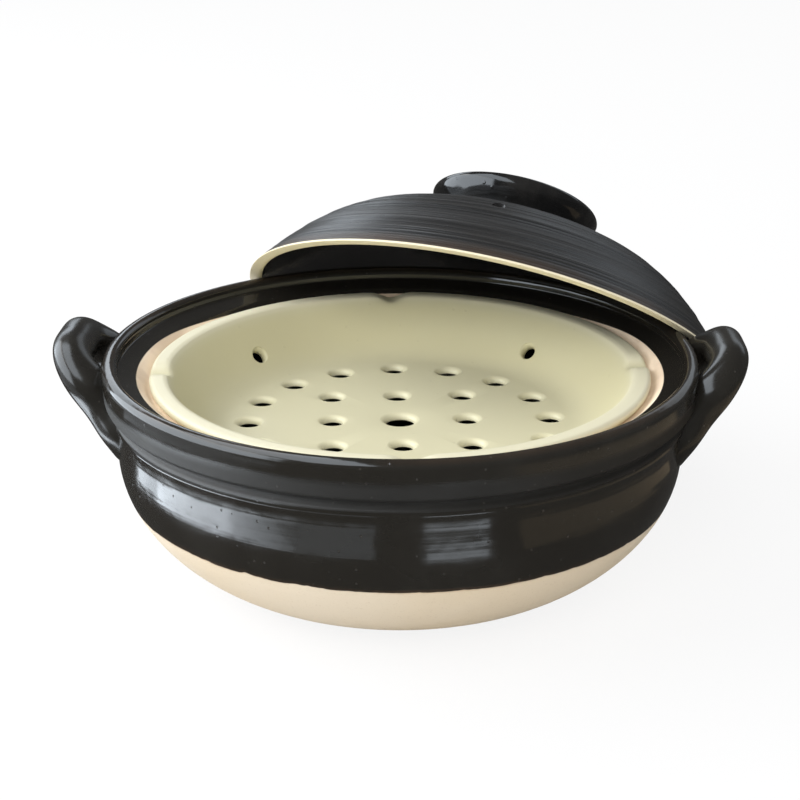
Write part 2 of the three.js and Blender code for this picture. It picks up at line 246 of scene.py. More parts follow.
def curve(start, pull_start, pull_end, end, steps):
    """Points of a cubic curve in the (radius, height) plane."""
    points = []
    for i in range(steps + 1):
        t = i / steps
        s = 1 - t
        weights = (s**3, 3 * s * s * t, 3 * s * t * t, t**3)
        corners = (start, pull_start, pull_end, end)
        points.append(tuple(sum(w * c[k] for w, c in zip(weights, corners)) for k in (0, 1)))
    return points


def round_arc(centre, radius, start, end, steps):
    """Points of a circular arc, angles in degrees."""
    points = []
    for i in range(steps + 1):
        a = math.radians(start + (end - start) * i / steps)
        points.append((centre[0] + radius * math.cos(a), centre[1] + radius * math.sin(a)))
    return points


def soften(points, radius, steps=3):
    """Rounds every corner of an open outline, up to a third of its shorter side."""
    soft = [points[0]]
    for before, corner, after in zip(points, points[1:], points[2:]):
        b, c, a = Vector(before), Vector(corner), Vector(after)
        cut = min(radius, (b - c).length / 3, (a - c).length / 3)
        p = c + (b - c).normalized() * cut
        q = c + (a - c).normalized() * cut
        for i in range(steps + 1):
            t = i / steps
            soft.append(tuple((1 - t) ** 2 * p + 2 * t * (1 - t) * c + t * t * q))
    soft.append(points[-1])
    return soft


def first_point(name, place):
    """A new mesh of one point, selected and in edit mode."""
    bpy.ops.object.select_all(action="DESELECT")
    bpy.ops.mesh.primitive_plane_add(size=MM)
    piece = bpy.context.object
    piece.name = name
    bpy.ops.object.mode_set(mode="EDIT")
    bpy.ops.mesh.select_all(action="SELECT")
    bpy.ops.mesh.merge(type="CENTER")
    bpy.ops.transform.translate(value=place)
    return piece


def pull(x, y, z):
    """Extrudes what is selected."""
    bpy.ops.mesh.extrude_region_move(TRANSFORM_OT_translate={"value": (x, y, z)})


def throw(name, outline, steps):
    """Spins an outline of (radius, height) points in metres about Z, as on a wheel."""
    piece = first_point(name, (outline[0][0], 0, outline[0][1]))
    for (r0, z0), (r1, z1) in zip(outline, outline[1:]):
        pull(r1 - r0, 0, z1 - z0)
    bpy.ops.mesh.select_all(action="SELECT")
    bpy.ops.mesh.spin(steps=steps, angle=2 * math.pi, center=(0, 0, 0), axis=(0, 0, 1))
    bpy.ops.mesh.select_all(action="SELECT")
    bpy.ops.mesh.remove_doubles(threshold=WELD)
    bpy.ops.mesh.normals_make_consistent(inside=False)
    bpy.ops.object.mode_set(mode="OBJECT")
    bpy.ops.object.shade_smooth()
    return piece


def choose(piece):
    bpy.ops.object.select_all(action="DESELECT")
    piece.select_set(True)
    bpy.context.view_layer.objects.active = piece


def settle(piece, place):
    """Puts a piece at its place and keeps that place in its mesh."""
    piece.matrix_world = place
    choose(piece)
    bpy.ops.object.transform_apply(location=True, rotation=True, scale=True)


def cut_away(piece, cutter):
    choose(piece)
    cut = piece.modifiers.new("cut", "BOOLEAN")
    cut.operation = "DIFFERENCE"
    cut.solver = "EXACT"
    cut.object = cutter
    bpy.ops.object.modifier_apply(modifier=cut.name)
    bpy.data.objects.remove(cutter)


def finish_piece(piece, material, body, slot, *nodes):
    piece.data.materials.clear()
    piece.data.materials.append(material)
    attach(piece, body)
    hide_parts(*nodes)


def lid_place():
    lid = sizes("lid_sizes")
    turn = Matrix.Rotation(lid.side, 4, "Z")
    return turn @ Matrix.Translation((lid.reach, 0, lid.rise)) @ Matrix.Rotation(lid.tilt, 4, "Y")


class Nodes:
    """Short hand for the nodes of one tree."""

    def __init__(self, tree):
        self.tree = tree

    def add(self, kind, **settings):
        made = self.tree.nodes.new(kind)
        for key, value in settings.items():
            setattr(made, key, value)
        return made

    def feed(self, socket, value):
        if isinstance(value, bpy.types.NodeSocket):
            self.tree.links.new(value, socket)
        else:
            socket.default_value = value

    def math(self, operation, a, b=0.0, clamp=False):
        made = self.add("ShaderNodeMath", operation=operation, use_clamp=clamp)
        self.feed(made.inputs[0], a)
        self.feed(made.inputs[1], b)
        return made.outputs[0]

    def ramp(self, value, low, high):
        made = self.add("ShaderNodeMapRange", interpolation_type="SMOOTHSTEP")
        self.feed(made.inputs["Value"], value)
        made.inputs["From Min"].default_value = low
        made.inputs["From Max"].default_value = high
        return made.outputs[0]

    def part(self, value, low, high, most):
        """A soft step from 0 up to a share."""
        return self.math("MULTIPLY", self.ramp(value, low, high), most)

    def blend(self, share_of_b, a, b):
        made = self.add("ShaderNodeMix", data_type="RGBA")
        self.feed(made.inputs["Factor"], share_of_b)
        self.feed(made.inputs["A"], a)
        self.feed(made.inputs["B"], b)
        return made.outputs["Result"]

    def between(self, share_of_b, a, b):
        made = self.add("ShaderNodeMix", data_type="FLOAT")
        self.feed(made.inputs["Factor"], share_of_b)
        self.feed(made.inputs["A"], a)
        self.feed(made.inputs["B"], b)
        return made.outputs["Result"]

    def noise(self, vector, scale, detail=3.0, rough=0.5):
        made = self.add("ShaderNodeTexNoise")
        self.feed(made.inputs["Vector"], vector)
        made.inputs["Scale"].default_value = scale
        made.inputs["Detail"].default_value = detail
        made.inputs["Roughness"].default_value = rough
        return made.outputs["Fac"]

    def group(self, group, **values):
        made = self.add("ShaderNodeGroup", node_tree=group)
        for key, value in values.items():
            self.feed(made.inputs[key.replace("_", " ").capitalize()], value)
        return made

    def show(self, shader, kind="ShaderNodeOutputMaterial"):
        """Puts a shader on the surface of a material or of the world."""
        self.feed(self.add(kind).inputs["Surface"], shader.outputs[0])


def new_group(name, inputs, outputs):
    group = bpy.data.node_groups.new(name, "ShaderNodeTree")
    for label, kind, default in inputs:
        socket = group.interface.new_socket(label, in_out="INPUT", socket_type=kind)
        if default is not None:
            socket.default_value = default
    for label, kind in outputs:
        group.interface.new_socket(label, in_out="OUTPUT", socket_type=kind)
    tree = Nodes(group)
    return tree, tree.add("NodeGroupInput"), tree.add("NodeGroupOutput")


def throwing_lines_group():
    """Uneven lines left by the potter's fingers, along one coordinate in metres."""
    name = "Throwing lines"
    if name in bpy.data.node_groups:
        return bpy.data.node_groups[name]
    tree, given, made = new_group(
        name,
        [("Along", "NodeSocketFloat", 0.0), ("Spacing", "NodeSocketFloat", 0.002)],
        [("Lines", "NodeSocketFloat"), ("Bands", "NodeSocketFloat")],
    )
    steps = tree.math("DIVIDE", given.outputs["Along"], given.outputs["Spacing"])
    lines = tree.add("ShaderNodeTexNoise", noise_dimensions="1D")
    tree.feed(lines.inputs["W"], steps)
    lines.inputs["Scale"].default_value = 1.0
    lines.inputs["Detail"].default_value = 4.0
    bands = tree.add("ShaderNodeTexNoise", noise_dimensions="1D")
    tree.feed(bands.inputs["W"], tree.math("MULTIPLY", steps, 0.23))
    bands.inputs["Scale"].default_value = 1.0
    tree.feed(made.inputs["Lines"], lines.outputs["Fac"])
    tree.feed(made.inputs["Bands"], bands.outputs["Fac"])
    return tree.tree


def pinholes_group():
    """Pits and specks of a fired surface."""
    name = "Pinholes"
    if name in bpy.data.node_groups:
        return bpy.data.node_groups[name]
    tree, given, made = new_group(
        name,
        [
            ("Vector", "NodeSocketVector", None),
            ("Scale", "NodeSocketFloat", 300.0),
            ("Amount", "NodeSocketFloat", 0.2),
        ],
        [("Pits", "NodeSocketFloat"), ("Ripple", "NodeSocketFloat")],
    )
    cells = tree.add("ShaderNodeTexVoronoi")
    tree.feed(cells.inputs["Vector"], given.outputs["Vector"])
    tree.feed(cells.inputs["Scale"], given.outputs["Scale"])
    tone = tree.add("ShaderNodeSeparateColor")
    tree.feed(tone.inputs[0], cells.outputs["Color"])
    chosen = tree.math("LESS_THAN", tone.outputs[0], given.outputs["Amount"])
    near = tree.ramp(cells.outputs["Distance"], 0.32, 0.12)
    ripple = tree.add("ShaderNodeTexNoise")
    tree.feed(ripple.inputs["Vector"], given.outputs["Vector"])
    tree.feed(ripple.inputs["Scale"], tree.math("MULTIPLY", given.outputs["Scale"], 0.16))
    ripple.inputs["Detail"].default_value = 2.0
    tree.feed(made.inputs["Pits"], tree.math("MULTIPLY", chosen, near))
    tree.feed(made.inputs["Ripple"], ripple.outputs["Fac"])
    return tree.tree


def empty_material(name):
    material = bpy.data.materials.new(name)
    material.use_nodes = True
    material.node_tree.nodes.clear()
    return material, Nodes(material.node_tree)


def new_material(name):
    """A material with its tree, its Principled shader and its Object coordinates."""
    material, tree = empty_material(name)
    shader = tree.add("ShaderNodeBsdfPrincipled")
    tree.show(shader)
    place = tree.add("ShaderNodeTexCoord").outputs["Object"]
    return material, tree, shader, place


def rgba(rgb):
    return (rgb[0], rgb[1], rgb[2], 1.0)


def bump(tree, shader, height):
    """Raises the surface by a height in millimetres."""
    made = tree.add("ShaderNodeBump")
    made.inputs["Strength"].default_value = 1.0
    made.inputs["Distance"].default_value = MM
    tree.feed(made.inputs["Height"], height)
    tree.feed(shader.inputs["Normal"], made.outputs["Normal"])


def radius_and_height(tree, place):
    """Distance from the axis, height, and the place seen from above."""
    parts = tree.add("ShaderNodeSeparateXYZ")
    tree.feed(parts.inputs[0], place)
    flat = tree.add("ShaderNodeCombineXYZ")
    tree.feed(flat.inputs[0], parts.outputs[0])
    tree.feed(flat.inputs[1], parts.outputs[1])
    long = tree.add("ShaderNodeVectorMath", operation="LENGTH")
    tree.feed(long.inputs[0], flat.outputs[0])
    return long.outputs["Value"], parts.outputs[2], flat.outputs[0]


def pot_material():
    """Black glaze down to a ragged line, bare clay below it and on the tray's seat."""
    colours = sizes("glaze_colours")
    material, tree, shader, place = new_material("Pot glaze over clay")
    radius, height, flat = radius_and_height(tree, place)

    wander = tree.math("SUBTRACT", tree.noise(flat, 26.0, 2.0), 0.5)
    nicks = tree.math("POWER", tree.noise(flat, 95.0, 2.0, 0.6), 5.0)
    line = tree.math("MULTIPLY_ADD", wander, 0.0022)
    line.node.inputs[2].default_value = GLAZE_LINE
    line = tree.math("ADD", line, tree.math("MULTIPLY", nicks, 0.006))
    over = tree.math("SUBTRACT", height, line)
    facing = tree.add("ShaderNodeSeparateXYZ")
    tree.feed(facing.inputs[0], tree.add("ShaderNodeNewGeometry").outputs["True Normal"])
    upward = tree.ramp(facing.outputs[2], *INSIDE_SLOPE)
    inside = tree.math("MULTIPLY", upward, tree.ramp(height, *INSIDE_TOP))
    glazed = tree.math("MAXIMUM", tree.ramp(over, -0.0002, 0.0002), inside)
    parts = tree.add("ShaderNodeSeparateXYZ")
    tree.feed(parts.inputs[0], place)
    # the outer part of the seat at the back takes black glaze instead of bare clay: painted shade under
    # the lid
    run = tree.part(parts.outputs[1], 0.03, 0.1, SEAT_BACK_SHADE)
    within = tree.ramp(tree.math("ADD", radius, run), *SEAT_EDGE)
    seat = tree.math("MULTIPLY", within, tree.ramp(height, *SEAT_LOW))
    glazed = tree.math("MULTIPLY", glazed, tree.math("SUBTRACT", 1.0, seat))

    lines = tree.group(throwing_lines_group(), along=height, spacing=0.0026)
    pits = tree.group(pinholes_group(), vector=place, scale=420.0, amount=0.06)
    clouds = tree.noise(place, 18.0, 4.0, 0.6)

    outside = tree.math("SUBTRACT", 1.0, inside)
    thin = tree.math("SUBTRACT", outside, tree.ramp(over, 0.0, 0.0026), clamp=True)
    # brown band on the lip's top: partly real thin glaze on the rolled lip, partly a painted highlight of
    # the lit lip
    lip = tree.part(height, 0.1095, 0.112, 0.3)
    thin = tree.math("MAXIMUM", tree.math("MULTIPLY", thin, 0.55), lip)
    thin = tree.math("MULTIPLY", thin, tree.ramp(clouds, 0.3, 0.7))
    black = tree.blend(thin, rgba(colours.black), rgba(colours.brown))
    black = tree.blend(tree.part(clouds, 0.45, 0.8, 0.4), black, POT_CLOUD)
    black = tree.blend(tree.math("MULTIPLY", pits.outputs["Pits"], 0.5), black, PIT_TONE)

    grain = tree.noise(place, 900.0, 2.0)
    warm = tree.noise(place, 9.0, 3.0)
    warm_clay = rgba([c * k for c, k in zip(colours.clay, WARM_SHARE)])
    clay = tree.blend(tree.ramp(warm, 0.35, 0.7), rgba(colours.clay), warm_clay)
    clay = tree.blend(tree.part(grain, 0.58, 0.75, 0.22), clay, CLAY_SPECK)
    clay = tree.blend(tree.math("MULTIPLY", seat, 0.85), clay, SEAT_CLAY)
    stain = tree.part(over, -0.0016, -0.0001, 0.35)
    clay = tree.blend(tree.math("MULTIPLY", stain, tree.ramp(clouds, 0.4, 0.6)), clay, CLAY_STAIN)

    tree.feed(shader.inputs["Base Color"], tree.blend(glazed, clay, black))
    gloss = tree.between(tree.ramp(clouds, 0.35, 0.75), 0.1, 0.18)
    groove = tree.math("MULTIPLY", tree.ramp(height, *GROOVE_LOW), tree.ramp(height, *GROOVE_HIGH))
    groove = tree.math("MULTIPLY", groove, tree.ramp(radius, *GROOVE_SIDE))
    gloss = tree.between(groove, gloss, 0.62)
    tree.feed(shader.inputs["Roughness"], tree.between(glazed, 0.82, gloss))
    relief = tree.math("MULTIPLY", lines.outputs["Lines"], 0.03)
    relief = tree.math("ADD", relief, tree.math("MULTIPLY", pits.outputs["Ripple"], 0.22))
    relief = tree.math("SUBTRACT", relief, tree.math("MULTIPLY", pits.outputs["Pits"], 0.08))
    relief = tree.math("ADD", relief, tree.math("MULTIPLY", glazed, 0.45))
    bump(tree, shader, relief)
    return material


def ear_material():
    """The pot's black glaze on the hand-rolled ears."""
    colours = sizes("glaze_colours")
    material, tree, shader, place = new_material("Ear glaze")
    pits = tree.group(pinholes_group(), vector=place, scale=420.0, amount=0.06)
    clouds = tree.noise(place, 22.0, 4.0, 0.6)
    black = tree.blend(tree.part(clouds, 0.45, 0.8, 0.5), rgba(colours.black), EAR_CLOUD)
    black = tree.blend(tree.math("MULTIPLY", pits.outputs["Pits"], 0.5), black, PIT_TONE)
    tree.feed(shader.inputs["Base Color"], black)
    tree.feed(shader.inputs["Roughness"], tree.between(tree.ramp(clouds, 0.35, 0.75), 0.16, 0.27))
    relief = tree.math("MULTIPLY", pits.outputs["Ripple"], 0.3)
    bump(tree, shader, relief)
    return material


def tray_material():
    """Pale grey-green satin glaze, deeper on the wall of the dish and lighter on its rim."""
    colours = sizes("glaze_colours")
    material, tree, shader, place = new_material("Tray glaze")
    radius, height, _ = radius_and_height(tree, place)
    pits = tree.group(pinholes_group(), vector=place, scale=300.0, amount=0.04)
    clouds = tree.noise(place, 14.0, 4.0, 0.55)
    wall = tree.math("MULTIPLY", tree.ramp(radius, 0.082, 0.104), tree.ramp(height, 0.103, 0.096))
    pooled = tree.math("MULTIPLY", wall, tree.between(tree.ramp(clouds, 0.3, 0.7), 0.55, 1.0))
    tone = tree.blend(pooled, rgba(colours.pale), rgba(colours.pale_deep))
    shaded = rgba([c * 0.93 for c in colours.pale])
    tone = tree.blend(tree.part(clouds, 0.45, 0.75, 0.3), tone, shaded)
    edge = tree.ramp(height, 0.0998, 0.1022)
    tone = tree.blend(tree.math("MULTIPLY", edge, 0.4), tone, TRAY_RIM)
    tone = tree.blend(tree.math("MULTIPLY", pits.outputs["Pits"], 0.1), tone, TRAY_PIT)
    tree.feed(shader.inputs["Base Color"], tone)
    tree.feed(shader.inputs["Roughness"], tree.between(clouds, 0.36, 0.46))
    shader.inputs["Specular IOR Level"].default_value = 0.25
    relief = tree.math("MULTIPLY", pits.outputs["Ripple"], 0.1)
    relief = tree.math("SUBTRACT", relief, tree.math("MULTIPLY", pits.outputs["Pits"], 0.06))
    bump(tree, shader, relief)
    return material


def lid_coordinates(tree, place):
    """Object coordinates turned back to the lid's own axis."""
    where = lid_place()
    turned = tree.add("ShaderNodeMapping", vector_type="TEXTURE")
    turned.inputs["Location"].default_value = where.to_translation()
    turned.inputs["Rotation"].default_value = where.to_euler()
    tree.feed(turned.inputs["Vector"], place)
    return turned.outputs[0]


def lid_material():
    """Semi-matt black glaze over fine ridges with a painted sheen on their crests, gloss inside, bare clay
    on the edge.
    """
    colours = sizes("glaze_colours")
    material, tree, shader, place = new_material("Lid glaze")
    own = lid_coordinates(tree, place)
    radius, height, _ = radius_and_height(tree, own)
    facing = tree.add("ShaderNodeVectorMath", operation="DOT_PRODUCT")
    tree.feed(facing.inputs[0], tree.add("ShaderNodeNewGeometry").outputs["True Normal"])
    facing.inputs[1].default_value = lid_place().to_3x3() @ Vector((0, 0, 1))
    outside = tree.ramp(facing.outputs["Value"], -0.05, 0.05)
    along = tree.math("SUBTRACT", radius, height)
    lines = tree.group(throwing_lines_group(), along=along, spacing=0.0046)
    fine = tree.group(throwing_lines_group(), along=along, spacing=0.0017)
    pits = tree.group(pinholes_group(), vector=place, scale=520.0, amount=0.1)
    clouds = tree.noise(own, 16.0, 4.0, 0.6)
    bare = tree.math("SUBTRACT", 1.0, tree.ramp(height, 0.0011, 0.0016))

    # ridge crests painted lighter: a painted sheen along the throwing ridges
    black = tree.blend(tree.ramp(lines.outputs["Lines"], 0.38, 0.64), rgba(colours.lid), LID_RIDGE_SHEEN)
    black = tree.blend(tree.part(fine.outputs["Lines"], 0.45, 0.6, 0.35), black, LID_FINE_SHEEN)
    black = tree.blend(tree.part(clouds, 0.4, 0.75, 0.3), black, LID_CLOUD)
    clay = tree.blend(tree.noise(place, 500.0, 2.0), *EDGE_CLAY)
    thin = tree.math("MULTIPLY", tree.ramp(height, 0.009, 0.002), tree.ramp(clouds, 0.3, 0.6))
    black = tree.blend(tree.math("MULTIPLY", thin, 0.5), black, rgba(colours.brown))
    black = tree.blend(outside, rgba(colours.knob), black)
    tree.feed(shader.inputs["Base Color"], tree.blend(bare, black, clay))
    matt = tree.between(tree.ramp(lines.outputs["Bands"], 0.35, 0.65), 0.3, 0.42)
    matt = tree.between(outside, 0.16, matt)
    tree.feed(shader.inputs["Roughness"], tree.between(bare, matt, 0.8))
    relief = tree.math("MULTIPLY", lines.outputs["Lines"], 0.8)
    relief = tree.math("ADD", relief, tree.math("MULTIPLY", fine.outputs["Lines"], 0.22))
    relief = tree.math("SUBTRACT", relief, tree.math("MULTIPLY", pits.outputs["Pits"], 0.08))
    relief = tree.math("MULTIPLY", relief, outside)
    bump(tree, shader, relief)
    return material


def knob_material():
    """Gloss black glaze run into lumps."""
    colours = sizes("glaze_colours")
    material, tree, shader, place = new_material("Knob glaze")
    pits = tree.group(pinholes_group(), vector=place, scale=260.0, amount=0.25)
    clouds = tree.noise(place, 40.0, 3.0, 0.6)
    tone = tree.blend(tree.ramp(clouds, 0.4, 0.75), rgba(colours.knob), KNOB_CLOUD)
    tree.feed(shader.inputs["Base Color"], tone)
    tree.feed(shader.inputs["Roughness"], tree.between(clouds, 0.07, 0.16))
    relief = tree.math("MULTIPLY", tree.noise(place, 75.0, 1.0), 0.7)
    relief = tree.math("ADD", relief, tree.math("MULTIPLY", pits.outputs["Pits"], 0.12))
    bump(tree, shader, relief)
    return material


def pot_outside():
    """Outside of the pot from the axis under its foot to the lip, with soft corners."""
    pot = sizes("pot_sizes")
    bowl = curve(
        (pot.foot, 0.0), (pot.foot + 30 * MM, 0.0), (pot.body, pot.belly - BOWL_PULL),
        (pot.body, pot.belly), 28,
    )
    top = pot.height
    shoulder = [
        (pot.body, pot.belly),
        (pot.body + 0.4 * MM, top - 34 * MM),
        (pot.body + 1.0 * MM, top - 29.5 * MM),
        (pot.body + 1.7 * MM, top - 26.5 * MM),
        (pot.body + 1.2 * MM, top - 24.2 * MM),
        (pot.body - 0.2 * MM, top - 22.8 * MM),
        (pot.body - 0.4 * MM, top - 21 * MM),
        (pot.rim - 2.6 * MM, top - 19.4 * MM),
        (pot.rim - 0.9 * MM, top - 17.4 * MM),
        (pot.rim - 0.2 * MM, top - 9 * MM),
        (pot.rim, top - LIP),
    ]
    return [(0.0, 0.0)] + bowl[:-1] + soften(shoulder, 2.2 * MM)


def pot_inside():
    """Inside of the pot from the lip over the gallery and the tray's seat to the floor's middle."""
    pot = sizes("pot_sizes")
    top = pot.height
    mouth = pot.rim - 7.7 * MM
    steps = [
        (mouth, top - LIP),
        (mouth, top - 6 * MM),
        (mouth - 9.6 * MM, top - 9 * MM),
        (mouth - 14.5 * MM, top - 14 * MM),
        (mouth - 19.8 * MM, top - 14 * MM),
        (mouth - 19.8 * MM, top - 20 * MM),
        (pot.body - POT_WALL, top - 28 * MM),
        (pot.body - POT_WALL, pot.belly),
    ]
    bowl = curve(
        (pot.body - POT_WALL, pot.belly),
        (pot.body - POT_WALL, pot.belly - BOWL_PULL),
        (pot.foot + 26 * MM, POT_FLOOR),
        (pot.foot - 4 * MM, POT_FLOOR),
        20,
    )
    return soften(steps, 1.2 * MM) + bowl[1:] + [(0.0, POT_FLOOR)]


class CLAYPOT_OT_throw_pot(bpy.types.Operator):
    """Throw the pot with its collar, groove, lip, gallery and tray seat"""

    bl_idname = "claypot.throw_pot"
    bl_label = "Throw Pot"

    def execute(self, context):
        pot = sizes("pot_sizes")
        lip = round_arc((pot.rim - LIP, pot.height - LIP), LIP, 0, 180, 12)
        outline = pot_outside()[:-1] + lip + pot_inside()[1:]
        piece = throw("pot_thrown", outline, POT_STEPS)
        finish_piece(piece, pot_material(), "pot", "pot_glaze", "pot_body")
        return {"FINISHED"}


class CLAYPOT_OT_roll_ears(bpy.types.Operator):
    """Roll two coils of clay into loops and press them on the shoulder"""

    bl_idname = "claypot.roll_ears"
    bl_label = "Roll Ears"

    def coil(self, name, reach):
        """A coil in its own plane: X across the loop, Y along its reach."""
        pot = sizes("pot_sizes")
        bpy.ops.object.select_all(action="DESELECT")
        bpy.ops.mesh.primitive_circle_add(vertices=COIL_SIDES, radius=1, rotation=(math.pi / 2, 0, 0))
        piece = bpy.context.object
        piece.name = name
        bpy.ops.object.transform_apply(location=True, rotation=True, scale=True)
        bpy.ops.object.mode_set(mode="EDIT")
        bpy.ops.mesh.select_all(action="SELECT")
        low = -EAR_START
        bpy.ops.transform.resize(value=(pot.ear_coil, 1, pot.ear_coil * pot.ear_flat))
        bpy.ops.transform.translate(value=(pot.ear_span, low, 0))
        side = pot.ear_span - pot.ear_bend
        top = reach - pot.ear_bend
        rise = (top - low) / ARM_STEPS
        for _ in range(ARM_STEPS):
            pull(0, rise, 0)
        bpy.ops.mesh.spin(steps=BEND_STEPS, angle=math.pi / 2, center=(side, top, 0), axis=(0, 0, -1))
        for _ in range(TOP_STEPS):
            pull(-2 * side / TOP_STEPS, 0, 0)
        bpy.ops.mesh.spin(steps=BEND_STEPS, angle=math.pi / 2, center=(-side, top, 0), axis=(0, 0, -1))
        for _ in range(ARM_STEPS):
            pull(0, -rise, 0)
        bpy.ops.mesh.select_all(action="SELECT")
        bpy.ops.mesh.remove_doubles(threshold=WELD)
        bpy.ops.mesh.select_all(action="DESELECT")
        bpy.ops.mesh.select_non_manifold()
        bpy.ops.mesh.edge_face_add()
        bpy.ops.mesh.select_all(action="SELECT")
        bpy.ops.mesh.normals_make_consistent(inside=False)
        bpy.ops.object.mode_set(mode="OBJECT")
        self.spread_roots(piece)
        choose(piece)
        smooth = piece.modifiers.new("smooth", "SUBSURF")
        smooth.levels = 1
        smooth.render_levels = 1
        bpy.ops.object.modifier_apply(modifier=smooth.name)
        bpy.ops.object.shade_smooth()
        return piece

    def fade(self, value, full, gone):
        """1 up to the first height, 0 from the second, smooth between them."""
        t = min(1.0, max(0.0, (gone - value) / (gone - full)))
        return t * t * (3 - 2 * t)

    def spread_roots(self, piece):
        """Widens both arms towards the wall, as clay smeared on."""
        pot = sizes("pot_sizes")
        for v in piece.data.vertices:
            root = self.fade(v.co.y, *EAR_ROOT)
            arm = math.copysign(pot.ear_span, v.co.x)
            v.co.x = arm + (v.co.x - arm) * (1 + ROOT_WIDER * root)
            if v.co.z < 0:
                v.co.z *= 1 + ROOT_THICKER_UNDER * root + BACK_THICKER * self.fade(v.co.y, *EAR_BACK)
            else:
                v.co.z *= 1 + ROOT_THICKER_OVER * root

    def press_on(self, piece, tilt, turn):
        """Puts an ear at its place and cuts off what would stick through the wall."""
        pot = sizes("pot_sizes")
        axes = Matrix(
            (
                (0, math.cos(tilt), math.sin(tilt)),
                (1, 0, 0),
                (0, math.sin(tilt), -math.cos(tilt)),
            )
        )
        root = Matrix.Translation((pot.body - EAR_SET_IN, 0, pot.ear_root))
        settle(piece, Matrix.Rotation(turn, 4, "Z") @ root @ axes.to_4x4())
        core = [(max(r - EAR_SINK, 0.0), z) for r, z in pot_outside()]
        above = pot.height + 5 * MM
        core += [(core[-1][0], above), (0.0, above)]
        cut_away(piece, throw("ear_core", core, EAR_CORE_STEPS))
        choose(piece)
        bpy.ops.object.shade_smooth_by_angle(angle=math.radians(50))

    def execute(self, context):
        pot = sizes("pot_sizes")
        material = ear_material()
        right = self.coil("ear_right", pot.right_reach)
        self.press_on(right, pot.right_tilt, pot.turn)
        finish_piece(right, material, "pot", "pot_glaze", "handle_right")
        left = self.coil("ear_left", pot.left_reach)
        self.press_on(left, pot.left_tilt, pot.turn + math.pi)
        finish_piece(left, material, "pot", "pot_glaze", "handle_left")
        return {"FINISHED"}


class CLAYPOT_OT_throw_tray(bpy.types.Operator):
    """Throw the tray, press the dips in its rim and pierce its steam holes"""

    bl_idname = "claypot.throw_tray"
    bl_label = "Throw Tray"

    def outline(self):
        tray = sizes("tray_sizes")
        under = tray.top - 5 * MM
        inner = curve(
            (114.8 * MM, tray.top - MM), (102.8 * MM, tray.top - 19.5 * MM), (99 * MM, tray.floor),
            (84 * MM, tray.floor), 26,
        )
        outer = []
        for before, point, after in zip(inner, inner[1:], inner[2:]):
            along = (Vector(after) - Vector(before)).normalized()
            outer.append(tuple(Vector(point) + Vector((-along.y, along.x)) * tray.wall))
        outer = [p for p in reversed(outer) if p[1] < under]
        roll = round_arc((tray.radius - 2.5 * MM, under + 2.5 * MM), 2.5 * MM, -90, 90, 12)
        rim = soften([roll[-1], (117.2 * MM, tray.top), (115.2 * MM, tray.top - 0.6 * MM), inner[1]], MM)
        low = tray.floor - tray.wall
        spokes = [(r * MM, low) for r in (0, 30, 60, 84)]
        floor = [(r * MM, tray.floor) for r in (66, 44, 22, 0)]
        return spokes + outer + [(118.5 * MM, under)] + roll + rim[1:-1] + inner[1:] + floor

    def press_dips(self, piece):
        tray = sizes("tray_sizes")
        lowest = tray.top - DIP_REACH
        for v in piece.data.vertices:
            radius = math.hypot(v.co.x, v.co.y)
            if v.co.z < lowest or radius < DIP_INNER:
                continue
            around = math.atan2(v.co.y, v.co.x) / (math.pi / 2)
            off = (around - round(around)) * (math.pi / 2) * radius
            dip = math.exp(-((off / DIP_WIDTH) ** 2))
            depth = (v.co.z - lowest) / DIP_REACH
            v.co.z -= tray.notch * dip * depth

    def hole(self, name, bore, mouth, spread, depth):
        """A cutter whose mouth flares softly into the face at height 0 and spreads below its waist."""
        wide = mouth - bore
        flare = curve(
            (bore, -2.7 * MM), (bore, -1.1 * MM), (bore + 0.42 * wide, -0.12 * MM), (mouth, 0.12 * MM), 8
        )
        under = [(0.0, -depth), (bore + spread, -depth), (bore + spread, -5.5 * MM), (bore, -3.1 * MM)]
        return throw(name, under + flare + [(mouth, 3 * MM), (0.0, 3 * MM)], HOLE_STEPS)

    def pierce(self, piece):
        tray = sizes("tray_sizes")
        places = []
        for i in range(RING_HOLES):
            a = 2 * math.pi * i / RING_HOLES
            places.append((tray.ring * math.cos(a), tray.ring * math.sin(a)))
        for x in (-tray.pitch, 0, tray.pitch):
            for y in (-tray.pitch, 0, tray.pitch):
                if x or y:
                    places.append((x, y))
        steam = self.hole("steam_cutter", *STEAM_HOLE)
        cutters = [steam]
        for x, y in places[1:]:
            choose(steam)
            bpy.ops.object.duplicate()
            bpy.context.object.location = (x, y, tray.floor)
            cutters.append(bpy.context.object)
        steam.location = (places[0][0], places[0][1], tray.floor)
        centre = self.hole("centre_cutter", *CENTRE_HOLE)
        centre.location = (0, 0, tray.floor)
        cutters.append(centre)
        for i in range(4):
            side = self.hole("side_cutter", *SIDE_HOLE)
            tip = Matrix.Translation(SIDE_HOLE_PLACE) @ Matrix.Rotation(-SIDE_HOLE_SLANT, 4, "Y")
            side.matrix_world = Matrix.Rotation(math.pi / 2 * (i + 0.5), 4, "Z") @ tip
            cutters.append(side)
        bpy.ops.object.select_all(action="DESELECT")
        for cutter in cutters:
            cutter.select_set(True)
        bpy.context.view_layer.objects.active = cutters[0]
        bpy.ops.object.join()
        bpy.ops.object.transform_apply(location=True, rotation=True, scale=True)
        cut_away(piece, cutters[0])

    def execute(self, context):
        tray = sizes("tray_sizes")
        piece = throw("tray_pierced", self.outline(), TRAY_STEPS)
        self.press_dips(piece)
        self.pierce(piece)
        settle(piece, Matrix.Rotation(tray.turn, 4, "Z"))
        bpy.ops.object.shade_smooth_by_angle(angle=math.radians(50))
        finish_piece(piece, tray_material(), "tray", "tray_glaze", "steam_tray")
        return {"FINISHED"}


def dome(inset, wall, steps):
    """Dome curve of the lid from its edge to the crown."""
    lid = sizes("lid_sizes")
    edge = lid.radius - inset
    crown = lid.height - wall
    return curve(
        (edge, 0.0), (edge - 39.9 * MM, 57 * MM - wall), (74 * MM - wall, crown), (0.0, crown), steps
    )


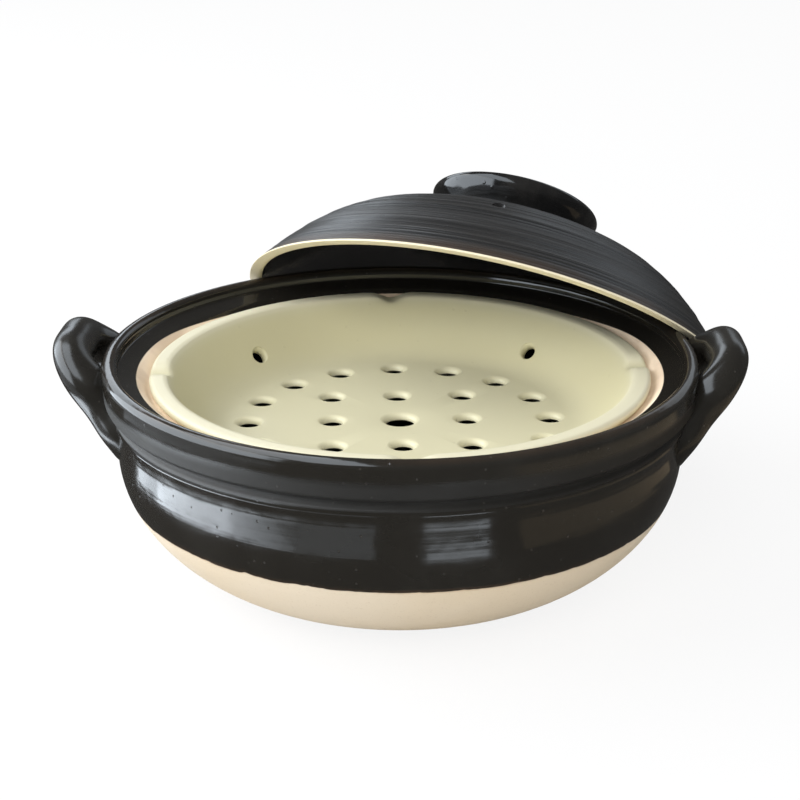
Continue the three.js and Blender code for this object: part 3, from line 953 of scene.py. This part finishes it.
class CLAYPOT_OT_throw_lid(bpy.types.Operator):
    """Throw the lid with its finger ridges, bare edge and steam vent"""

    bl_idname = "claypot.throw_lid"
    bl_label = "Throw Lid"

    def ridged(self, points):
        """Low ridges left by the fingers, fading at the edge and under the knob."""
        ridged = []
        for before, point, after in zip(points, points[1:], points[2:]):
            along = (Vector(after) - Vector(before)).normalized()
            r, z = point
            run = (r - z) / MM
            low = sum(deep * math.sin(run / wide + shift) for deep, wide, shift in RIDGES)
            fade = min(1.0, z / (6 * MM)) * min(1.0, max(0.0, (r - 44 * MM) / (8 * MM)))
            ridged.append(tuple(Vector(point) + Vector((along.y, -along.x)) * low * MM * fade))
        return ridged + [points[-1]]

    def execute(self, context):
        lid = sizes("lid_sizes")
        inside = list(reversed(dome(lid.edge, lid.wall, 40)))[:-1]
        outside = self.ridged(dome(0.0, 0.0, 190))
        edge = soften(
            [inside[-1], (lid.radius - lid.edge, 0.0), (lid.radius, 0.0), outside[0]], 1.1 * MM
        )
        piece = throw("lid_thrown", inside[:-1] + edge + outside[1:], LID_STEPS)
        bpy.ops.object.select_all(action="DESELECT")
        bpy.ops.mesh.primitive_cylinder_add(vertices=32, radius=VENT_RADIUS, depth=0.12)
        vent = bpy.context.object
        turn = Matrix.Rotation(VENT_TURN, 4, "Z")
        settle(vent, turn @ Matrix.Translation((VENT_REACH, 0, lid.height)))
        cut_away(piece, vent)
        settle(piece, lid_place())
        bpy.ops.object.shade_smooth_by_angle(angle=math.radians(60))
        finish_piece(piece, lid_material(), "lid", "lid_glaze", "lid_dome")
        return {"FINISHED"}


class CLAYPOT_OT_throw_knob(bpy.types.Operator):
    """Throw the flared ring knob on the crown of the lid"""

    bl_idname = "claypot.throw_knob"
    bl_label = "Throw Knob"

    def execute(self, context):
        lid = sizes("lid_sizes")
        crown = dome(0.0, 0.0, 60)

        def on_dome(radius):
            return min(crown, key=lambda p: abs(p[0] - radius))[1]

        def sunk(radius):
            return (radius, on_dome(radius) - KNOB_SINK)

        neck = lid.knob - KNOB_FLARE
        bore = neck - KNOB_WALL
        base = on_dome(neck)
        top = base + KNOB_HEIGHT
        roll = KNOB_ROLL
        foot = [sunk(bore - 3 * MM), sunk(neck + 3.4 * MM)]
        flare = curve(
            (neck + 2.2 * MM, base + 0.5 * MM), (neck - 1.5 * MM, base + 6 * MM),
            (lid.knob - 1 * MM, top - 11 * MM), (lid.knob, top - roll), 14,
        )
        rim = round_arc((lid.knob - roll, top - roll), roll, 0, 180, 12)
        well = curve(
            (lid.knob - 2 * roll, top - roll), (lid.knob - 2 * roll, top - 9 * MM), (bore, base + 10 * MM),
            sunk(bore - 3 * MM), 10,
        )
        piece = throw("knob_thrown", foot + flare + rim[1:] + well[1:], KNOB_STEPS)
        settle(piece, lid_place())
        finish_piece(piece, knob_material(), "lid", "knob_glaze", "lid_knob")
        return {"FINISHED"}


class CLAYPOT_OT_set_stage(bpy.types.Operator):
    """Set the white floor, the window light, the cards and the camera"""

    bl_idname = "claypot.set_stage"
    bl_label = "Set Stage"

    def floor(self):
        """White paper to the camera, nearly dark in reflections."""
        bpy.ops.object.select_all(action="DESELECT")
        bpy.ops.mesh.primitive_plane_add(size=FLOOR_SIZE, location=(0, 0, -CARD_LIFT))
        floor = bpy.context.object
        floor.name = "stage_floor"
        material, tree = empty_material("Stage floor")
        rays = tree.add("ShaderNodeLightPath")
        paper = tree.add("ShaderNodeBsdfDiffuse")
        paper.inputs["Color"].default_value = (0.86, 0.86, 0.86, 1.0)
        white = tree.add("ShaderNodeEmission")
        white.inputs["Color"].default_value = (1.0, 1.0, 1.0, 1.0)
        dark = tree.add("ShaderNodeEmission")
        dark.inputs["Color"].default_value = (0.06, 0.058, 0.055, 1.0)
        seen = tree.add("ShaderNodeMixShader")
        tree.feed(seen.inputs[0], tree.math("MULTIPLY", rays.outputs["Is Camera Ray"], 0.86))
        tree.feed(seen.inputs[1], paper.outputs[0])
        tree.feed(seen.inputs[2], white.outputs[0])
        mirrored = tree.add("ShaderNodeMixShader")
        tree.feed(mirrored.inputs[0], rays.outputs["Is Glossy Ray"])
        tree.feed(mirrored.inputs[1], seen.outputs[0])
        tree.feed(mirrored.inputs[2], dark.outputs[0])
        tree.show(mirrored)
        floor.data.materials.append(material)

    def world(self, scene):
        world = bpy.data.worlds.new("Stage room")
        scene.world = world
        world.use_nodes = True
        world.node_tree.nodes.clear()
        tree = Nodes(world.node_tree)
        rays = tree.add("ShaderNodeLightPath")
        light = tree.add("ShaderNodeBackground")
        tone = tree.blend(rays.outputs["Is Glossy Ray"], (0.7, 0.708, 0.72, 1.0), (0.11, 0.11, 0.11, 1.0))
        tone = tree.blend(rays.outputs["Is Camera Ray"], tone, (1.0, 1.0, 1.0, 1.0))
        tree.feed(light.inputs["Color"], tone)
        tree.show(light, "ShaderNodeOutputWorld")

    def lamp(self, name, place, target, width, height, watts, tint):
        data = bpy.data.lights.new(name, "AREA")
        data.shape = "RECTANGLE"
        data.size = width
        data.size_y = height
        data.energy = watts
        data.color = tint
        lamp = bpy.data.objects.new(name, data)
        bpy.context.scene.collection.objects.link(lamp)
        lamp.location = place
        lamp.rotation_euler = (Vector(target) - Vector(place)).to_track_quat("-Z", "Y").to_euler()
        return lamp

    def glow(self, card, strength, tint, low, high):
        """Lights a card in reflections only, fading towards the camera between two values of Y."""
        material, tree = empty_material(card.name)
        parts = tree.add("ShaderNodeSeparateXYZ")
        tree.feed(parts.inputs[0], tree.add("ShaderNodeTexCoord").outputs["Object"])
        light = tree.add("ShaderNodeEmission")
        light.inputs["Color"].default_value = rgba(tint)
        fade = tree.ramp(parts.outputs[1], low, high)
        tree.feed(light.inputs["Strength"], tree.math("MULTIPLY", fade, strength))
        tree.show(light)
        card.data.materials.append(material)
        card.visible_camera = False
        card.visible_diffuse = False
        card.visible_shadow = False

    def floor_card(self, name, inner, outer, start, sweep):
        """A ring-shaped card on the floor."""
        card = first_point(name, (inner, 0, CARD_LIFT))
        pull(outer - inner, 0, 0)
        bpy.ops.mesh.select_all(action="SELECT")
        bpy.ops.mesh.spin(steps=CARD_STEPS, angle=math.radians(sweep), center=(0, 0, 0), axis=(0, 0, -1))
        bpy.ops.object.mode_set(mode="OBJECT")
        settle(card, Matrix.Rotation(math.radians(start), 4, "Z"))
        return card

    def wall_card(self, name, place, width, height):
        """A card that stands or hangs at its place and faces the pot."""
        bpy.ops.object.select_all(action="DESELECT")
        bpy.ops.mesh.primitive_plane_add(size=1)
        card = bpy.context.object
        card.name = name
        settle(card, place @ Matrix.Diagonal((height, width, 1, 1)))
        return card

    def execute(self, context):
        scene = context.scene
        scene.view_settings.view_transform = "Standard"
        self.floor()
        self.world(scene)
        self.lamp(
            "window", place=(-1.9, 0.15, 1.25), target=(0, 0, 0.08), width=2.6, height=1.3, watts=55,
            tint=(0.97, 0.985, 1.0),
        )
        fill = self.lamp(
            "fill", place=(-0.5, -2.0, 1.5), target=(0, 0, 0.05), width=1.8, height=1.2, watts=24,
            tint=(1.0, 0.99, 0.97),
        )
        fill.visible_glossy = False
        for name, inner, outer, start, sweep, *light in FLOOR_CARDS:
            self.glow(self.floor_card(name, inner, outer, start, sweep), *light)
        wall = Matrix.Translation((-1.0, -0.2, 0.5)) @ Matrix.Rotation(math.pi / 2, 4, "Y")
        self.glow(self.wall_card("window_card", wall, 2.0, 0.96), 5.2, COOL, -1.25, -0.9)
        over = Matrix.Translation((-0.3, -0.3, 0.62))
        self.glow(self.wall_card("upper_card", over, 1.1, 0.4), 4.2, COOL, -0.95, -0.7)
        for name, side, strength in (("back_card", -60, 2.6), ("right_card", -125, 0.9)):
            behind = Matrix.Rotation(math.radians(side), 4, "Z") @ Matrix.Translation((-1.8, 0, 0.95))
            behind = behind @ Matrix.Rotation(math.radians(65), 4, "Y")
            self.glow(self.wall_card(name, behind, 1.4, 0.9), strength, COOL, -1.0, 0.0)
        camera = bpy.data.objects.new("camera", bpy.data.cameras.new("camera"))
        scene.collection.objects.link(camera)
        camera.data.sensor_width = CAMERA_SENSOR
        camera.data.lens = CAMERA_LENS
        camera.location = CAMERA_PLACE
        camera.rotation_euler = Euler((math.radians(90 - CAMERA_DOWN), 0, 0))
        scene.camera = camera
        return {"FINISHED"}


class CLAYPOT_PT_panel(bpy.types.Panel):
    """Pieces of the clay steaming pot"""

    bl_label = "Clay Steaming Pot"
    bl_idname = "CLAYPOT_PT_panel"
    bl_space_type = "VIEW_3D"
    bl_region_type = "UI"
    bl_category = "Clay Pot"

    def draw(self, context):
        for step in STEPS:
            self.layout.operator(step.bl_idname)


STEPS = (
    CLAYPOT_OT_throw_pot,
    CLAYPOT_OT_roll_ears,
    CLAYPOT_OT_throw_tray,
    CLAYPOT_OT_throw_lid,
    CLAYPOT_OT_throw_knob,
    CLAYPOT_OT_set_stage,
)
SETTINGS = {
    "pot_sizes": PotSizes,
    "tray_sizes": TraySizes,
    "lid_sizes": LidSizes,
    "glaze_colours": GlazeColours,
}
CLASSES = (*SETTINGS.values(), *STEPS, CLAYPOT_PT_panel)


def register():
    for cls in CLASSES:
        bpy.utils.register_class(cls)
    for name, cls in SETTINGS.items():
        setattr(bpy.types.Scene, name, bpy.props.PointerProperty(type=cls))


def unregister():
    for name in SETTINGS:
        delattr(bpy.types.Scene, name)
    for cls in reversed(CLASSES):
        bpy.utils.unregister_class(cls)


def main():
    register()
    bpy.ops.claypot.throw_pot()
    bpy.ops.claypot.roll_ears()
    bpy.ops.claypot.throw_tray()
    bpy.ops.claypot.throw_lid()
    bpy.ops.claypot.throw_knob()
    bpy.ops.claypot.set_stage()


if __name__ == "__main__":
    main()
